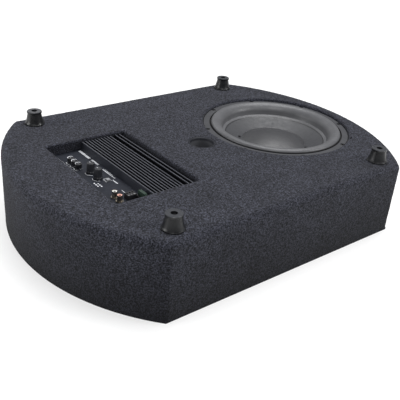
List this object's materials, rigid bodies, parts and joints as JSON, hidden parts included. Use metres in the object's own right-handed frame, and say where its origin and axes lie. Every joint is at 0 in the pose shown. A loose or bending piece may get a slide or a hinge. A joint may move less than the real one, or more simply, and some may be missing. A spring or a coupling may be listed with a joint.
{
  "type": "powered car subwoofer",
  "caption": "Flat carpeted bass box with two bowed ends, a countersunk shallow driver, a recessed amplifier with finned heatsink, a round port and rubber feet.",
  "frame": {"origin": "centre of the broad back face, which is the face the box lies on", "axes": "+X along the longest side from the amplifier to the driver, +Y across the box, +Z out of the driver's face"},
  "size_m": [0.6638, 0.47, 0.15],
  "materials": {
    "carpet": "needle-punched automotive carpet, charcoal",
    "board": "bare medium-density fibreboard",
    "rubber_feet": "moulded black rubber, satin",
    "trim_rubber": "matte black rubber trim",
    "surround_rubber": "smooth grey rubber, semi-gloss",
    "cone_pulp": "mineral-filled moulded cone, satin",
    "cap_plastic": "smooth moulded dome, satin",
    "spider_cloth": "resin-dipped corrugated cloth",
    "black_steel": "black powder coat",
    "zinc_steel": "zinc-plated steel",
    "black_screw": "black oxide steel",
    "ferrite": "ground ferrite",
    "copper": "enamelled copper wire",
    "former_film": "thin anodised foil tube",
    "black_plastic": "moulded black plastic",
    "gloss_black": "glossy black plastic",
    "anodised": "black anodised extrusion",
    "panel_black": "black painted sheet metal with pale print",
    "knob_black": "moulded knob, satin",
    "gold": "thin gold plating",
    "white_plastic": "white plastic",
    "red_plastic": "red plastic",
    "green_fuse": "translucent green plastic",
    "board_green": "glass-epoxy circuit board",
    "sleeve_blue": "shrink sleeve",
    "wire_red": "flexible wire insulation",
    "foam": "closed-cell foam"
  },
  "bodies": {
    "enclosure": {"baffle_board": "board", "back_board": "board", "front_wall": "board", "rear_wall": "board", "amp_end_wall": "board", "driver_end_wall": "board", "brace_board": "board", "cover_carpet": "carpet", "bottom_carpet": "carpet", "recess_carpet": "carpet", "port_tube": "gloss_black", "feet": "rubber_feet", "foot_washers": "zinc_steel", "foot_screws": "zinc_steel", "driver_frame": "black_steel", "driver_gasket": "foam", "trim_ring": "trim_rubber", "driver_screws": "black_screw", "surround": "surround_rubber", "spider": "spider_cloth", "top_plate": "zinc_steel", "magnet": "ferrite", "yoke": "zinc_steel", "speaker_terminals": "gold", "tinsel_leads": "copper", "speaker_wires": "wire_red", "amp_panel": "panel_black", "amp_gasket": "foam", "heatsink": "anodised", "amp_chassis": "zinc_steel", "amp_screws": "black_screw", "circuit_board": "board_green", "capacitors": "sleeve_blue", "transformer": "copper", "power_transistors": "black_plastic", "potentiometers": "zinc_steel", "switch_body": "zinc_steel", "rca_shells": "gold", "rca_insulator_white": "white_plastic", "rca_insulator_red": "red_plastic", "rca_contacts": "gold", "terminal_block": "black_plastic", "terminal_clamps": "zinc_steel", "terminal_screws": "zinc_steel", "fuse_socket": "black_plastic"},
    "cone_body": {"cone": "cone_pulp", "dust_cap": "cap_plastic", "coil_former": "former_film", "voice_coil": "copper", "lead_eyelets": "zinc_steel"},
    "gain_control": {"gain_trimmer": "knob_black"},
    "low_pass_control": {"low_pass_trimmer": "knob_black"},
    "subsonic_control": {"subsonic_trimmer": "knob_black"},
    "bass_boost_control": {"bass_boost_knob": "knob_black", "bass_boost_shaft": "zinc_steel"},
    "phase_control": {"phase_knob": "knob_black", "phase_shaft": "zinc_steel"},
    "switch_lever": {"switch_slider": "white_plastic"},
    "fuse": {"fuse_body": "green_fuse", "fuse_blades": "zinc_steel"}
  },
  "joints": [
    {"name": "cone_travel", "type": "slide", "parent": "enclosure", "child": "cone_body", "axis": [0, 0, 1], "range_m": [-0.008, 0.008], "stiffness_N_per_m": 4500, "deforming": ["surround", "spider", "tinsel_leads"]},
    {"name": "gain_turn", "type": "hinge", "parent": "enclosure", "child": "gain_control", "pos_m": [-0.2155, 0.0687, 0.108], "axis": [0, 0, 1], "range_deg": [-140, 140]},
    {"name": "low_pass_turn", "type": "hinge", "parent": "enclosure", "child": "low_pass_control", "pos_m": [-0.2155, 0.0563, 0.108], "axis": [0, 0, 1], "range_deg": [-140, 140]},
    {"name": "subsonic_turn", "type": "hinge", "parent": "enclosure", "child": "subsonic_control", "pos_m": [-0.2155, 0.0439, 0.108], "axis": [0, 0, 1], "range_deg": [-140, 140]},
    {"name": "bass_boost_turn", "type": "hinge", "parent": "enclosure", "child": "bass_boost_control", "pos_m": [-0.206, 0.0218, 0.108], "axis": [0, 0, 1], "range_deg": [-140, 140]},
    {"name": "phase_turn", "type": "hinge", "parent": "enclosure", "child": "phase_control", "pos_m": [-0.206, -0.0007, 0.108], "axis": [0, 0, 1], "range_deg": [-140, 140]},
    {"name": "switch_slide", "type": "slide", "parent": "enclosure", "child": "switch_lever", "axis": [0, 1, 0], "range_m": [0, 0.004]},
    {"name": "fuse_pull", "type": "slide", "parent": "enclosure", "child": "fuse", "axis": [0, 0, 1], "range_m": [0, 0.014]}
  ]
}
